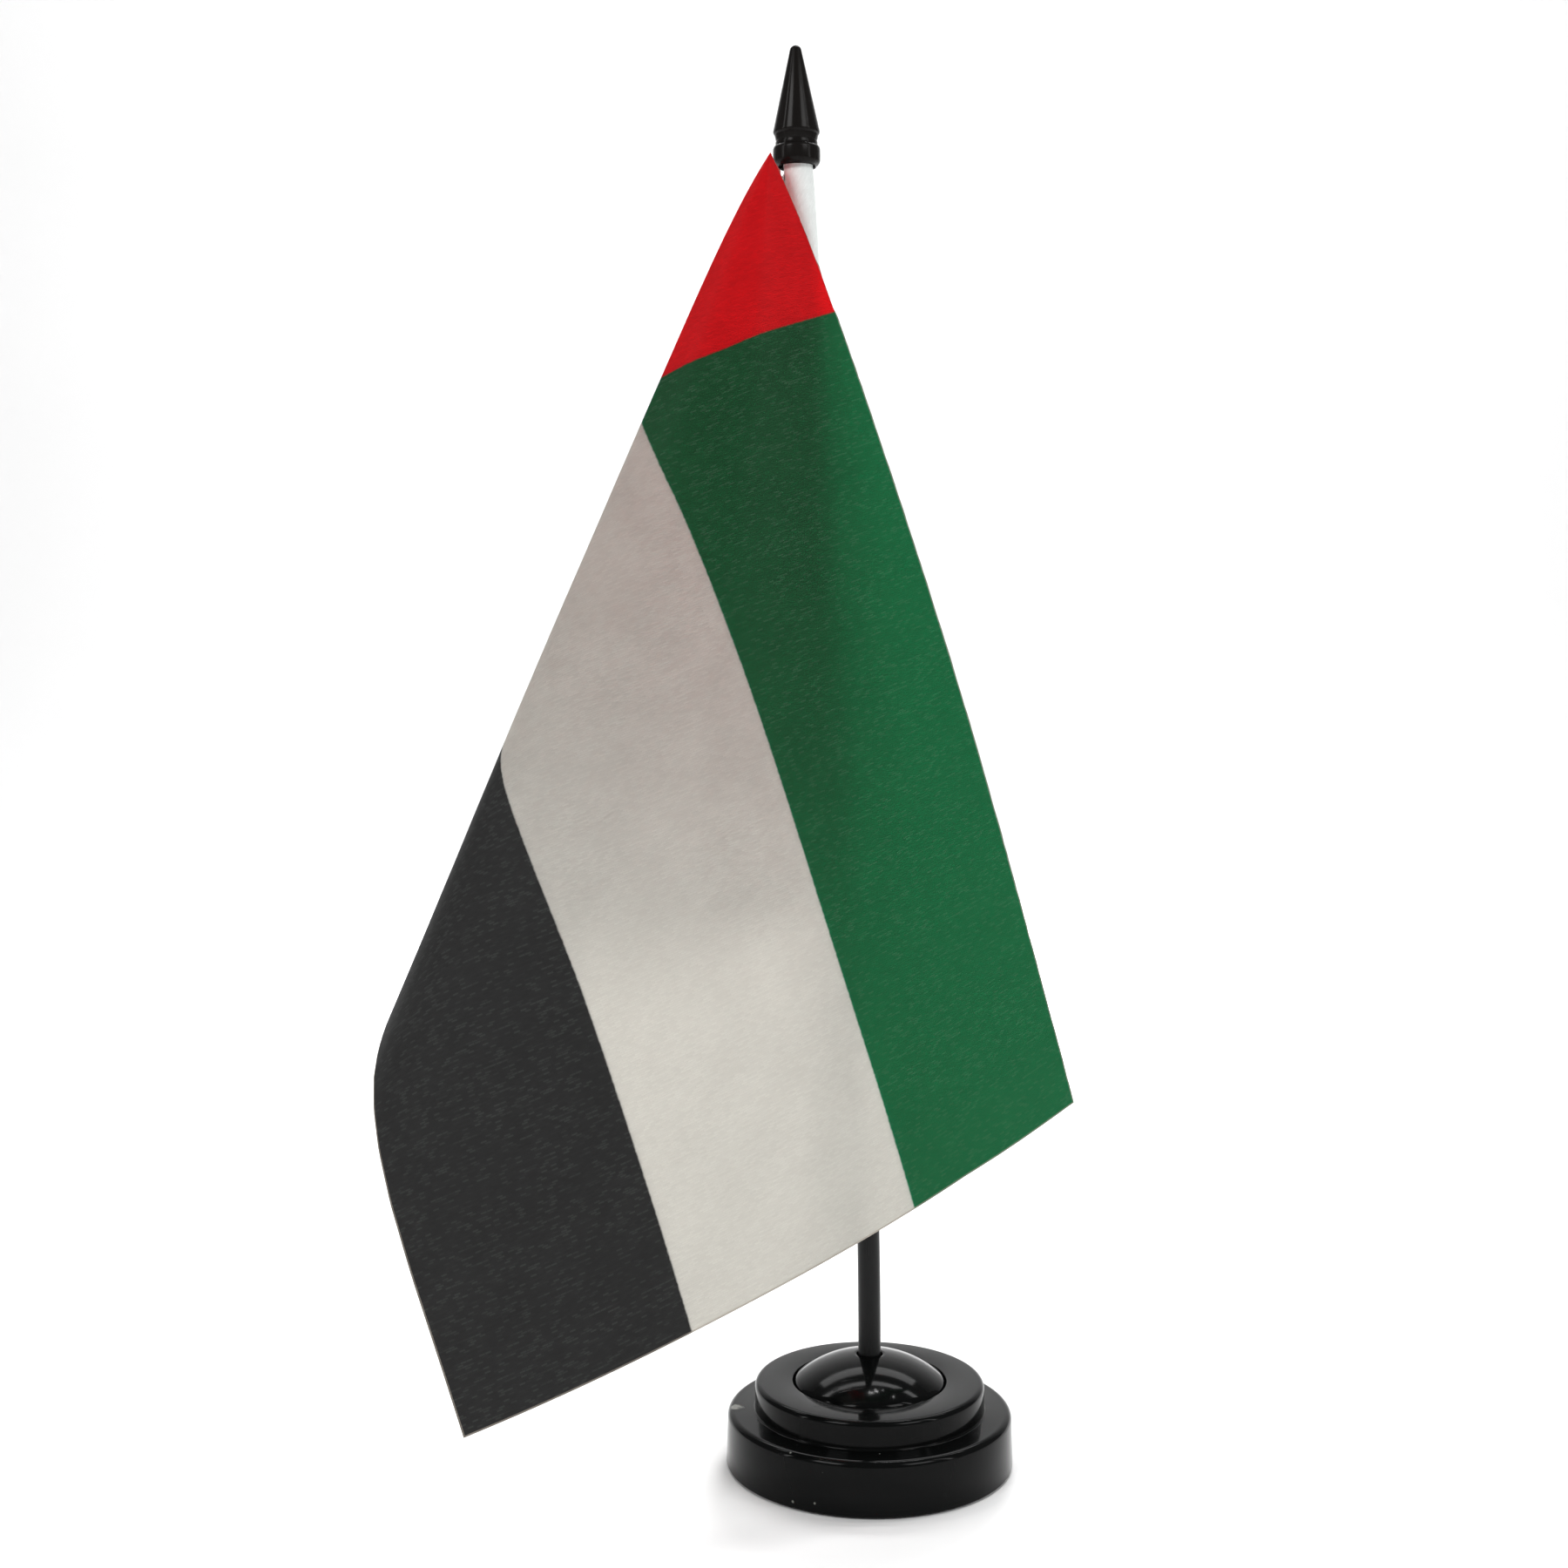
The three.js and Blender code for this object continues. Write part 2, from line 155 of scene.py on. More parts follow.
def turned(name, outline, steps=160, at=(0, 0, 0), lean=0.0):
    """Draws half a section by extruding one vertex along it, then spins it round the axis."""
    deselect_all()
    bpy.ops.mesh.primitive_plane_add(size=MM, location=(0, 0, 0))
    piece = bpy.context.object
    piece.name = name
    piece.data.name = name
    bpy.ops.object.mode_set(mode="EDIT")
    bpy.ops.mesh.select_all(action="SELECT")
    bpy.ops.mesh.merge(type="CENTER")
    first = outline[0]
    bpy.ops.transform.translate(value=(first[0] * MM, 0, first[1] * MM))
    for before, after in zip(outline, outline[1:]):
        step = ((after[0] - before[0]) * MM, 0, (after[1] - before[1]) * MM)
        bpy.ops.mesh.extrude_region_move(TRANSFORM_OT_translate={"value": step})
    bpy.ops.mesh.select_all(action="SELECT")
    bpy.ops.mesh.spin(steps=steps, angle=2 * math.pi, center=(0, 0, 0), axis=(0, 0, 1))
    bpy.ops.mesh.select_all(action="SELECT")
    bpy.ops.mesh.remove_doubles(threshold=0.002 * MM)
    bpy.ops.mesh.normals_make_consistent(inside=False)
    bpy.ops.object.mode_set(mode="OBJECT")
    piece.rotation_euler = (0, -lean, 0)
    piece.location = Vector(at) * MM
    settle(piece)
    smooth(piece, 32)
    return piece


# ---------------------------------------------------------------- helpers for materials


def colour(hex_value):
    """An sRGB hex colour as the linear colour that shaders take."""
    channels = [(hex_value >> shift & 255) / 255 for shift in (16, 8, 0)]
    linear = [c / 12.92 if c <= 0.04045 else ((c + 0.055) / 1.055) ** 2.4 for c in channels]
    return (*linear, 1.0)


def new_material(name):
    material = bpy.data.materials.new(name)
    material.use_nodes = True
    shader = material.node_tree.nodes["Principled BSDF"]
    return material, material.node_tree, shader


def add_node(tree, kind, settings=None, links=None):
    """Adds one node: settings are its properties or its inputs' values, links are inputs fed by sockets."""
    node = tree.nodes.new("ShaderNode" + kind)
    for key, value in (settings or {}).items():
        if isinstance(key, str) and hasattr(node, key):
            setattr(node, key, value)
        else:
            node.inputs[key].default_value = value
    for key, socket in (links or {}).items():
        tree.links.new(socket, node.inputs[key])
    return node


def ramp(tree, fac, stops):
    """A colour ramp of grey levels: stops are (position, level)."""
    node = add_node(tree, "ValToRGB", links={"Fac": fac})
    elements = node.color_ramp.elements
    for _ in range(len(stops) - 2):
        elements.new(0.5)
    for element, (position, level) in zip(elements, stops):
        element.position = position
        element.color = (level, level, level, 1)
    return node.outputs["Color"]


def maths(tree, operation, first, second):
    """One Math node; a number or a socket on either input."""
    node = tree.nodes.new("ShaderNodeMath")
    node.operation = operation
    for socket, value in zip(node.inputs, (first, second)):
        if isinstance(value, (int, float)):
            socket.default_value = value
        else:
            tree.links.new(value, socket)
    return node.outputs[0]


def put_on(piece, material):
    piece.data.materials.clear()
    piece.data.materials.append(material)


# ---------------------------------------------------------------- materials


def gloss_abs(name, tint, roughness, peel, nicks=()):
    """Injection-moulded ABS, high gloss: sharp reflections, a faint orange peel from the mould's polish,
    handling haze, hairline scuffs and a few specks of dust."""
    material, tree, shader = new_material(name)
    place = add_node(tree, "TexCoord").outputs["Object"]
    haze = add_node(tree, "TexNoise", {"Scale": 90.0, "Detail": 5.0, "Roughness": 0.6}, {"Vector": place})
    along_scuffs = {"Rotation": (0.4, 0.9, 0.3), "Scale": (1.0, 14.0, 1.0)}
    stretched = add_node(tree, "Mapping", along_scuffs, {"Vector": place})
    hairs = add_node(tree, "TexNoise", {"Scale": 160.0, "Detail": 2.0}, {"Vector": stretched.outputs[0]})
    scuffs = ramp(tree, hairs.outputs["Fac"], [(0.66, 0.0), (0.72, 1.0)])
    base_roughness = add_node(
        tree, "MapRange", {"From Min": 0.3, "From Max": 0.75, "To Min": roughness, "To Max": roughness * 2.0},
        {"Value": haze.outputs["Fac"]},
    )
    rough = maths(tree, "ADD", base_roughness.outputs["Result"], maths(tree, "MULTIPLY", scuffs, 0.1))
    tree.links.new(rough, shader.inputs["Roughness"])
    specks = add_node(tree, "TexVoronoi", {"Scale": 420.0, "Randomness": 1.0}, {"Vector": place})
    dust = ramp(tree, specks.outputs["Distance"], [(0.02, 1.0), (0.06, 0.0)])
    sparse = ramp(tree, add_node(tree, "TexNoise", {"Scale": 240.0}, {"Vector": place}).outputs["Fac"],
                  [(0.6, 0.0), (0.68, 1.0)])
    dusty = maths(tree, "MULTIPLY", dust, sparse)
    faint_dust = maths(tree, "MULTIPLY", dusty, 0.6)
    tone = add_node(tree, "MixRGB", {"Color1": colour(tint), "Color2": colour(0x6C6D69)}, {"Fac": faint_dust})
    surface = tone.outputs["Color"]
    grit = add_node(tree, "TexNoise", {"Scale": 900.0, "Detail": 4.0}, {"Vector": place})
    raggedness = maths(tree, "SUBTRACT", grit.outputs["Fac"], 0.85)
    for nick, size in nicks:
        away = add_node(tree, "VectorMath", {"operation": "DISTANCE", 1: [v * MM for v in nick]}, {0: place})
        near = maths(tree, "SUBTRACT", 1.0, maths(tree, "DIVIDE", away.outputs["Value"], size * MM))
        torn = ramp(tree, maths(tree, "ADD", near, raggedness), [(0.0, 0.0), (0.3, 1.0)])
        chipped = add_node(tree, "MixRGB", {"Color2": colour(0x72736E)}, {"Fac": torn, "Color1": surface})
        surface = chipped.outputs["Color"]
    tree.links.new(surface, shader.inputs["Base Color"])
    ripple = add_node(tree, "TexNoise", {"Scale": 260.0, "Detail": 2.0}, {"Vector": place})
    orange_peel = maths(tree, "MULTIPLY", ripple.outputs["Fac"], peel)
    height = maths(tree, "ADD", orange_peel, maths(tree, "MULTIPLY", scuffs, -0.2))
    bump = add_node(tree, "Bump", {"Strength": 0.12, "Distance": 0.0002}, {"Height": height})
    tree.links.new(bump.outputs["Normal"], shader.inputs["Normal"])
    shader.inputs["Specular IOR Level"].default_value = 0.09
    return material


def satin_rod():
    """Extruded ABS rod: satin black with faint draw lines along its length."""
    material, tree, shader = new_material("Extruded ABS rod, satin black")
    place = add_node(tree, "TexCoord").outputs["Object"]
    drawn = add_node(tree, "Mapping", {"Scale": (1.0, 1.0, 0.02)}, {"Vector": place})
    lines = add_node(tree, "TexNoise", {"Scale": 2600.0, "Detail": 3.0}, {"Vector": drawn.outputs[0]})
    shader.inputs["Base Color"].default_value = colour(0x101111)
    rough = add_node(
        tree,
        "MapRange",
        {"From Min": 0.3, "From Max": 0.7, "To Min": 0.24, "To Max": 0.42},
        {"Value": lines.outputs["Fac"]},
    )
    tree.links.new(rough.outputs["Result"], shader.inputs["Roughness"])
    bump = add_node(tree, "Bump", {"Strength": 0.15, "Distance": 0.0001}, {"Height": lines.outputs["Fac"]})
    tree.links.new(bump.outputs["Normal"], shader.inputs["Normal"])
    shader.inputs["Specular IOR Level"].default_value = 0.2
    return material


def flat_cloth(tree):
    """Where a point lies on the cloth before it was hung, in centimetres."""
    return add_node(tree, "UVMap", {"uv_map": "flat"}).outputs["UV"]


def satin_weave(tree):
    """Polyester satin on the flat cloth: long floats that run with the hoist, 0.42 mm apart, which is two
    real threads to each drawn one, because single ones are too fine to show."""
    axes = add_node(tree, "SeparateXYZ", links={"Vector": flat_cloth(tree)})
    along, down = axes.outputs["X"], axes.outputs["Y"]
    turned_round = add_node(tree, "CombineXYZ", links={"X": down, "Y": along})
    floats = add_node(
        tree,
        "TexBrick",
        {
            "offset": 0.4,
            "Scale": 1.0,
            "Brick Width": 0.12,
            "Row Height": 0.042,
            "Mortar Size": 0.007,
            "Mortar Smooth": 0.6,
            "Color1": (0.0, 0.0, 0.0, 1),
            "Color2": (1.0, 1.0, 1.0, 1),
            "Mortar": (0.2, 0.2, 0.2, 1),
        },
        {"Vector": turned_round.outputs[0]},
    )
    return along, down, floats


def banded(tree, along, down):
    """The printed bands' edges, a little uneven: below green, below white, and past the red."""
    wobble = add_node(tree, "TexNoise", {"Scale": 9.0, "Detail": 3.0}, {"Vector": flat_cloth(tree)})
    shift = maths(tree, "MULTIPLY", maths(tree, "SUBTRACT", wobble.outputs["Fac"], 0.5), 0.03)
    down = maths(tree, "ADD", down, shift)
    along = maths(tree, "ADD", along, shift)

    bleed = 0.02  # how far the ink runs either side of an edge

    def below(value, limit):
        soft = add_node(
            tree,
            "MapRange",
            {
                "interpolation_type": "SMOOTHSTEP",
                "From Min": limit - bleed,
                "From Max": limit + bleed,
                "To Min": 0.0,
                "To Max": 1.0,
            },
            {"Value": value},
        )
        return soft.outputs["Result"]

    white_end = GREEN_BAND + WHITE_BAND
    return below(down, GREEN_BAND / 10), below(down, white_end / 10), below(along, RED_BAND / 10)


def cut_edge(tree, along, down):
    """1 in the last third of a millimetre before a heat-cut edge, where the ink didn't soak in."""
    margin = 0.035
    top = maths(tree, "LESS_THAN", down, margin)
    bottom = maths(tree, "GREATER_THAN", down, FLAG_HEIGHT / 10 - margin)
    fly = maths(tree, "GREATER_THAN", along, FLAG_LENGTH / 10 - margin)
    any_edge = maths(tree, "MAXIMUM", maths(tree, "MAXIMUM", top, bottom), fly)
    return maths(tree, "MULTIPLY", any_edge, 0.6)


def cloth_shader(tree, shader, print_colour, through_colour, floats, weave_tone, share):
    """Thin cloth: part of the light is thrown back, with a satin gloss, and part passes through it."""
    tone = add_node(tree, "MixRGB", {"blend_type": "MULTIPLY", "Fac": 1.0}, {"Color2": weave_tone})
    tree.links.new(tone.outputs["Color"], shader.inputs["Base Color"])
    shader.inputs["Roughness"].default_value = 0.5
    shader.inputs["Specular IOR Level"].default_value = 0.12
    shader.inputs["Sheen Weight"].default_value = 0.04
    shader.inputs["Sheen Roughness"].default_value = 0.4
    height = maths(tree, "ADD", maths(tree, "MULTIPLY", floats.outputs["Fac"], -0.6),
                   maths(tree, "MULTIPLY", floats.outputs["Color"], 0.35))
    bump = add_node(tree, "Bump", {"Strength": 0.35, "Distance": 0.00012}, {"Height": height})
    tree.links.new(bump.outputs["Normal"], shader.inputs["Normal"])
    through = add_node(tree, "BsdfTranslucent", links={"Normal": bump.outputs["Normal"]})
    for given, socket in ((print_colour, tone.inputs["Color1"]), (through_colour, through.inputs["Color"])):
        if isinstance(given, tuple):
            socket.default_value = given
        else:
            tree.links.new(given, socket)
    both = add_node(tree, "MixShader", {"Fac": share}, {1: shader.outputs[0], 2: through.outputs[0]})
    output = next(node for node in tree.nodes if node.type == "OUTPUT_MATERIAL")
    tree.links.new(both.outputs[0], output.inputs["Surface"])


def printed_satin():
    """Polyester satin printed with disperse ink: colour soaked into a white weave, with a painted highlight
    that pales the floats where they catch light."""
    material, tree, shader = new_material("Polyester satin, printed bands")
    along, down, floats = satin_weave(tree)
    in_white, in_black, past_red = banded(tree, along, down)
    at_edge = cut_edge(tree, along, down)

    def bands(green, white, black, red):
        colours = {"Color1": colour(green), "Color2": colour(white)}
        upper = add_node(tree, "MixRGB", colours, {"Fac": in_white}).outputs["Color"]
        lower = add_node(tree, "MixRGB", {"Color2": colour(black)}, {"Fac": in_black, "Color1": upper})
        below_red = lower.outputs["Color"]
        whole = add_node(tree, "MixRGB", {"Color1": colour(red)}, {"Fac": past_red, "Color2": below_red})
        inked = whole.outputs["Color"]
        edged = add_node(tree, "MixRGB", {"Color2": colour(0xB8AFA4)}, {"Fac": at_edge, "Color1": inked})
        return edged.outputs["Color"]

    ink = bands(0x285A38, 0xBDBFBA, 0x3F3F3F, 0xCC1820)
    glow = bands(0x10AC86, 0xF6F2EC, 0x454443, 0xFC3038)
    cloud = add_node(tree, "TexNoise", {"Scale": 1.1, "Detail": 3.0}, {"Vector": flat_cloth(tree)})
    tones = {"To Min": 0.86, "To Max": 1.1}
    float_tone = add_node(tree, "MapRange", tones, {"Value": floats.outputs["Color"]})
    cloud_tone = add_node(
        tree,
        "MapRange",
        {"From Min": 0.3, "From Max": 0.7, "To Min": 0.94, "To Max": 1.05},
        {"Value": cloud.outputs["Fac"]},
    )
    weave_tone = maths(tree, "MULTIPLY", float_tone.outputs["Result"], cloud_tone.outputs["Result"])
    # painted highlight: outside the red band the floats' tops are paled towards light grey in the base
    # colour, where they would catch light
    lit_floats = ramp(tree, floats.outputs["Color"], [(0.7, 0.0), (0.95, 0.07)])
    float_glint_mask = maths(tree, "MULTIPLY", lit_floats, past_red)
    glinting = add_node(tree, "MixRGB", {"Color2": colour(0xA9B4AC)}, {"Fac": float_glint_mask, "Color1": ink})
    cloth_shader(tree, shader, glinting.outputs["Color"], glow, floats, weave_tone, 0.5)
    return material


def white_satin():
    """The same satin where it isn't printed: cool white."""
    material, tree, shader = new_material("Polyester satin, unprinted")
    _, _, floats = satin_weave(tree)
    white = colour(0xF8FCFA)
    tones = {"To Min": 0.93, "To Max": 1.03}
    float_tone = add_node(tree, "MapRange", tones, {"Value": floats.outputs["Color"]})
    cloth_shader(tree, shader, white, white, floats, float_tone.outputs["Result"], 0.08)
    return material


def sewing_thread():
    """Spun polyester sewing thread: matt white with a fine twist."""
    material, tree, shader = new_material("Spun polyester thread, white")
    place = add_node(tree, "TexCoord").outputs["Object"]
    twist = add_node(tree, "TexWave", {"Scale": 900.0, "Distortion": 1.5}, {"Vector": place})
    shader.inputs["Base Color"].default_value = colour(0xE9ECE8)
    shader.inputs["Roughness"].default_value = 0.7
    bump = add_node(tree, "Bump", {"Strength": 0.4, "Distance": 0.0001}, {"Height": twist.outputs["Fac"]})
    tree.links.new(bump.outputs["Normal"], shader.inputs["Normal"])
    return material


def needled_felt():
    """Needled polyester felt: dark grey matted fibres, no gloss."""
    material, tree, shader = new_material("Needled felt, dark grey")
    place = add_node(tree, "TexCoord").outputs["Object"]
    tangle = {"Scale": 1500.0, "Detail": 6.0, "Distortion": 2.5}
    fibres = add_node(tree, "TexNoise", tangle, {"Vector": place})
    matted = add_node(tree, "TexNoise", {"Scale": 160.0, "Detail": 3.0}, {"Vector": place})
    fine = maths(tree, "MULTIPLY", fibres.outputs["Fac"], 0.7)
    mix = maths(tree, "ADD", fine, maths(tree, "MULTIPLY", matted.outputs["Fac"], 0.3))
    tone = add_node(tree, "MixRGB", {"Color1": colour(0x1E1F21), "Color2": colour(0x55575A)}, {"Fac": mix})
    tree.links.new(tone.outputs["Color"], shader.inputs["Base Color"])
    shader.inputs["Roughness"].default_value = 0.95
    shader.inputs["Sheen Weight"].default_value = 0.3
    bump = add_node(tree, "Bump", {"Strength": 0.8, "Distance": 0.0004}, {"Height": mix})
    tree.links.new(bump.outputs["Normal"], shader.inputs["Normal"])
    return material


def moulded_plastic(name, tint, roughness):
    """Moulded plastic that isn't polished: a fine spark-eroded texture."""
    material, tree, shader = new_material(name)
    place = add_node(tree, "TexCoord").outputs["Object"]
    grain = add_node(tree, "TexNoise", {"Scale": 1800.0, "Detail": 2.0}, {"Vector": place})
    shader.inputs["Base Color"].default_value = colour(tint)
    spread = 0.08
    rough = add_node(
        tree,
        "MapRange",
        {"From Min": 0.3, "From Max": 0.7, "To Min": roughness - spread, "To Max": roughness + spread},
        {"Value": grain.outputs["Fac"]},
    )
    tree.links.new(rough.outputs["Result"], shader.inputs["Roughness"])
    bump = add_node(tree, "Bump", {"Strength": 0.25, "Distance": 0.0001}, {"Height": grain.outputs["Fac"]})
    tree.links.new(bump.outputs["Normal"], shader.inputs["Normal"])
    return material


def zinc_steel():
    """Zinc-plated turned steel: fine concentric tool marks under a spangled plate."""
    material, tree, shader = new_material("Zinc-plated steel, turned")
    place = add_node(tree, "TexCoord").outputs["Object"]
    tool_marks = {"wave_type": "RINGS", "rings_direction": "Z", "Scale": 700.0, "Distortion": 0.6}
    rings = add_node(tree, "TexWave", tool_marks, {"Vector": place})
    spangle = add_node(tree, "TexVoronoi", {"Scale": 350.0}, {"Vector": place})
    greys = {"Color1": colour(0x8F9296), "Color2": colour(0xB9BCC0)}
    tone = add_node(tree, "MixRGB", greys, {"Fac": spangle.outputs["Distance"]})
    tree.links.new(tone.outputs["Color"], shader.inputs["Base Color"])
    shader.inputs["Metallic"].default_value = 1.0
    shader.inputs["Roughness"].default_value = 0.38
    bump = add_node(tree, "Bump", {"Strength": 0.2, "Distance": 0.0001}, {"Height": rings.outputs["Fac"]})
    tree.links.new(bump.outputs["Normal"], shader.inputs["Normal"])
    return material


# ---------------------------------------------------------------- where the pole and the cloth are


def pole_centre(height):
    """The pole's axis at a height: upright in the socket, bent over a stretch, then straight."""
    if height <= BEND_START:
        return Vector((0, 0, height))
    radius = (BEND_END - BEND_START) / math.sin(LEAN)
    climbed = min(height, BEND_END) - BEND_START
    bent = radius - math.sqrt(radius**2 - climbed**2)
    straight = max(height - BEND_END, 0) * math.tan(LEAN)
    return Vector((-bent - straight, 0, height))


def slope_at(angle, key):
    """A smooth line through the slopes of the back rays or the front rays."""
    rays = BACK_RAYS if angle >= CREASE_ANGLE else FRONT_RAYS
    last = len(rays) - 1
    after = max(next((i for i, ray in enumerate(rays) if ray[0] <= angle), last), 1)
    before = after - 1

    def tangent(i):
        first, second = rays[max(i - 1, 0)], rays[min(i + 1, last)]
        return (second[key] - first[key]) / (second[0] - first[0])

    span = rays[after][0] - rays[before][0]
    t = (angle - rays[before][0]) / span
    start = (1 + 2 * t) * (1 - t) ** 2 * rays[before][key] + t * (1 - t) ** 2 * span * tangent(before)
    end = t * t * (3 - 2 * t) * rays[after][key] + t * t * (t - 1) * span * tangent(after)
    return start + end


def settled(angle):
    """0 at the pole, 1 from the fold on, smooth between."""
    t = min(max((90 - angle) / (90 - FOLD_ANGLE), 0), 1)
    return t * t * (3 - 2 * t)


def ray_place(angle, distance):
    """A point of the fan before its crease is softened."""
    share = settled(angle)
    start = pole_centre(CLOTH_TOP)
    start.x += -HOIST + (FOLD_POINT[0] + HOIST) * share
    start.y += FOLD_POINT[1] * share
    start.z += FOLD_POINT[2] * share
    across = slope_at(angle, 1)
    ray = Vector((across, -slope_at(angle, 2), -100)).normalized()
    turn = math.radians(angle)
    give = BIAS_NEAR + (BIAS_FAR - BIAS_NEAR) * min(distance / BIAS_RUN, 1)
    place = start + ray * distance * (1 + give * math.sin(2 * turn) ** 2)
    along = distance / FLAG_LENGTH
    place.x += EDGE_BOW * 4 * along * (1 - along) * math.cos(turn) ** 4
    place.x -= across * FAN_CUT / 100 * share * math.exp((FAN_CUT - distance) / PINCH_LENGTH)
    return place


def cloth_place(angle, distance):
    """Where the cloth hangs: the crease is sharp at the top and opens into a soft fold further down."""
    widest = CREASE_SOFTNESS * (distance / FLAG_LENGTH) ** 2
    window = max(min(widest, angle, 90 - angle), 0)
    if window < 0.05:
        return ray_place(angle, distance)
    steps = 5
    place = Vector((0, 0, 0))
    for step in range(-steps, steps + 1):
        weight = (steps + 1 - abs(step)) / (steps + 1) ** 2
        place += ray_place(angle + window * step / steps, distance) * weight
    return place


def reach(angle):
    """How far the cloth reaches from its top corner at a cloth angle."""
    turn = math.radians(angle)
    return min(FLAG_HEIGHT / max(math.sin(turn), 1e-6), FLAG_LENGTH / max(math.cos(turn), 1e-6))


# ---------------------------------------------------------------- camera, light and floor


def add_camera():
    data = bpy.data.cameras.new("camera")
    data.sensor_width = 36
    data.lens = 46.95
    camera = bpy.data.objects.new("camera", data)
    camera.location = (-0.01794, -0.4198, 0.1717)
    camera.rotation_euler = (math.radians(90 - 3.96), 0, 0)
    bpy.context.collection.objects.link(camera)
    bpy.context.scene.camera = camera


def add_light(name, place, target, size, watts, in_gloss=True):
    """A soft rectangular lamp that no view shows, only what it lights and, where in_gloss, its reflection."""
    data = bpy.data.lights.new(name, "AREA")
    data.shape = "RECTANGLE"
    data.size, data.size_y = size
    data.energy = watts
    light = bpy.data.objects.new(name, data)
    light.location = place
    light.rotation_euler = (Vector(target) - Vector(place)).to_track_quat("-Z", "Y").to_euler()
    light.visible_camera = False
    light.visible_glossy = in_gloss
    bpy.context.collection.objects.link(light)


def add_stage():
    """A seamless sweep: pale floor that curves up into a pale wall."""
    half_width = 2.5
    front, back, radius, top = -1.6, 1.3, 0.5, 2.4
    steps = 24
    section = [(front, 0.0)]
    for i in range(steps + 1):
        angle = math.pi / 2 * i / steps
        section.append((back + radius * math.sin(angle), radius - radius * math.cos(angle)))
    section.append((back + radius, top))
    points = [(x / MM, y / MM, z / MM) for y, z in section for x in (-half_width, half_width)]
    faces = [(2 * i, 2 * i + 1, 2 * i + 3, 2 * i + 2) for i in range(len(section) - 1)]
    floor = new_mesh("floor", points, faces)
    smooth(floor, 60)
    material, tree, shader = new_material("Matt white paper")
    shader.inputs["Base Color"].default_value = colour(0xF6F6F6)
    shader.inputs["Roughness"].default_value = 0.9
    put_on(floor, material)


def add_lights():
    world = bpy.data.worlds.new("studio")
    bpy.context.scene.world = world
    world.use_nodes = True
    background = world.node_tree.nodes["Background"]
    background.inputs["Color"].default_value = (1, 1, 1, 1)
    background.inputs["Strength"].default_value = 0.22
    middle = (0, 0, 0.15)
    add_light("left softbox", (-0.75, -0.95, 0.95), middle, (0.5, 0.5), 6)
    add_light("right softbox", (0.8, -0.9, 0.9), middle, (0.5, 0.5), 4.6)
    add_light("left strip", (-0.95, -0.35, 0.6), (0, 0, 0.25), (0.06, 0.9), 1.6)
    add_light("right strip", (0.9, -0.45, 0.6), (0, 0, 0.25), (0.05, 0.9), 1.3)
    add_light("wall wash", (0.0, 0.45, 1.5), (0, 1.8, 0.3), (2.4, 0.3), 20)
    add_light("floor wash", (0.0, 0.9, 1.3), (0, 0.0, 0.0), (1.8, 0.3), 8)
    add_light("back softbox", (0.15, 0.9, 0.42), (0, 0, 0.18), (0.3, 0.3), 7.5, in_gloss=False)
    rng = random.Random(4)
    lamps, ceiling = 11, 1.5
    for i in range(lamps):
        across = 0.02 + 0.05 * i + rng.uniform(-0.012, 0.012)
        behind = 0.17 + rng.uniform(-0.05, 0.05)
        size = (0.03, rng.uniform(0.03, 0.11))
        add_light(f"ceiling lamp {i + 1}", (across, behind, ceiling), (across, behind, 0), size, 0.36)


# ---------------------------------------------------------------- base

# Knocks in the base's plastic: place and size in millimetres.
BASE_NICKS = (
    ((-28.1, -0.3, 11.4), 2.4),
    ((-16.7, -24.0, 11.3), 0.5),
    ((1.0, -25.2, 11.5), 0.35),
    ((-10.4, -28.2, 8.8), 0.5),
    ((-16.2, -25.2, 1.8), 0.45),
    ((-11.9, -27.5, 2.4), 0.4),
)


def base_moulding(material):
    """The two-tier shell, with polished rounded edges and a fine groove where the dome cap sits."""
    foot, ledge, tier = 30.0, 29.7, 24.0
    ledge_top, tier_top = 11.5, 17.4
    seat, wall = 16.1, 2.0
    inner = foot - wall - 0.1
    outline = [
        (inner, 0.45),
        *arc((foot - 0.3, 0.7), 0.3, -90, 0, 4),
        *arc((ledge - 1.4, ledge_top - 1.4), 1.4, 0, 90, 8),
        *arc((tier + 0.45, ledge_top + 0.45), 0.45, -90, -180, 4),
        *arc((tier - 1.2, tier_top - 1.2), 1.2, 0, 90, 8),
        *arc((seat + 0.25, tier_top - 0.25), 0.25, 90, 180, 4),
        (seat, 15.0),
        (seat - 2.6, 15.0),
        (seat - 2.6, 13.0),
        (seat + 2, 13.0),
        (seat + 2, 15.4),
        (tier - wall, 15.4),
        (tier - wall, 9.5),
        (inner, 9.5),
        (inner, 0.45),
    ]
    shell = turned("base_moulding", outline, 192)
    put_on(shell, material)
    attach(shell, "base")
    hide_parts("base_shell")
    return shell


def dome(material):
    """The domed cap: a shallow cap of a sphere with a rolled foot and a softened hole for the pole."""
    radius, foot, apex, hole, thickness = 15.8, 17.4, 23.1, 2.7, 1.8
    rise = apex - foot
    ball = (radius**2 + rise**2) / (2 * rise)
    centre = apex - ball

    def over(start, end, size, steps):
        points = []
        for i in range(steps + 1):
            r = start + (end - start) * i / steps
            points.append((r, centre + math.sqrt(size**2 - r**2)))
        return points

    outline = [
        (radius - 2.6, 15.3),
        (radius, 15.3),
        (radius, foot - 0.45),
        (radius - 0.12, foot - 0.15),
        *over(radius - 0.45, hole + 0.35, ball, 30),
        (hole + 0.1, apex - 0.28),
        (hole, apex - 0.5),
        *over(hole, radius - 3.0, ball - thickness, 14),
        (radius - 2.6, 15.3),
    ]
    cap = turned("domed_cap", outline, 160)
    put_on(cap, material)
    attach(cap, "base")
    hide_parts("dome_cap")
    return cap


